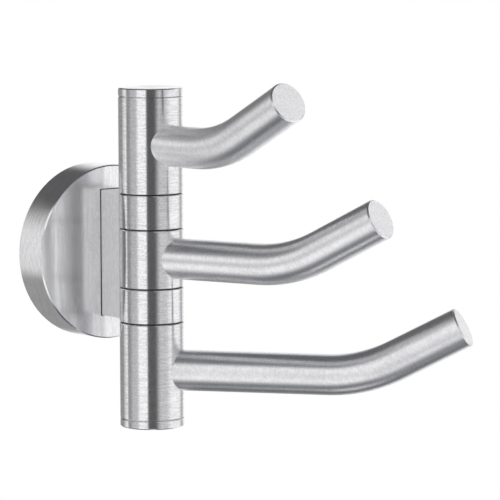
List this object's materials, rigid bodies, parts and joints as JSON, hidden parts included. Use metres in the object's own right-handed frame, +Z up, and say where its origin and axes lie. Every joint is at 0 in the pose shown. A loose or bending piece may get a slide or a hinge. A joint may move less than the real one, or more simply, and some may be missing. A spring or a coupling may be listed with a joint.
{
  "type": "swivel triple hook",
  "caption": "Wall hook: round rosette and knuckled bracket carrying bent bar hooks that swivel one above the other on an upright spindle.",
  "frame": {"origin": "centre of the wall face, in the middle of the rosette", "axes": "+Y into the wall, +Z up, the hooks reach out towards -Y"},
  "size_m": [0.0881, 0.1082, 0.1036],
  "materials": {
    "brushed_stainless": "brushed round the turned pieces, satin",
    "plain_steel": "as turned",
    "screw_steel": "plain",
    "spring_steel": "plain",
    "black_acetal": "moulded, matt"
  },
  "bodies": {
    "wall_part": {"rosette": "brushed_stainless", "wall_plate": "plain_steel", "rosette_grub_screw": "screw_steel", "bracket": "brushed_stainless", "upper_bracket_screw": "screw_steel", "lower_bracket_screw": "screw_steel", "spindle": "plain_steel", "top_collar_washer": "black_acetal", "upper_knuckle_washer": "black_acetal", "lower_knuckle_washer": "black_acetal", "bottom_collar_washer": "black_acetal", "top_disc_spring": "spring_steel", "bottom_disc_spring": "spring_steel", "top_nut": "screw_steel", "bottom_nut": "screw_steel"},
    "top_swivel": {"top_collar": "brushed_stainless", "top_bush": "black_acetal", "top_cap": "brushed_stainless", "top_hook": "brushed_stainless"},
    "middle_swivel": {"middle_collar": "brushed_stainless", "middle_bush": "black_acetal", "middle_hook": "brushed_stainless"},
    "bottom_swivel": {"bottom_collar": "brushed_stainless", "bottom_bush": "black_acetal", "bottom_cap": "brushed_stainless", "bottom_hook": "brushed_stainless"}
  },
  "joints": [
    {"name": "top_turn", "type": "hinge", "parent": "wall_part", "child": "top_swivel", "pos_m": [0, -0.0309, 0.0333], "axis": [0, 0, 1], "range_deg": [-113, 109]},
    {"name": "middle_turn", "type": "hinge", "parent": "wall_part", "child": "middle_swivel", "pos_m": [0, -0.0309, 0], "axis": [0, 0, 1], "range_deg": [-127, 87]},
    {"name": "bottom_turn", "type": "hinge", "parent": "wall_part", "child": "bottom_swivel", "pos_m": [0, -0.0309, -0.0333], "axis": [0, 0, 1], "range_deg": [-142, 66]}
  ]
}
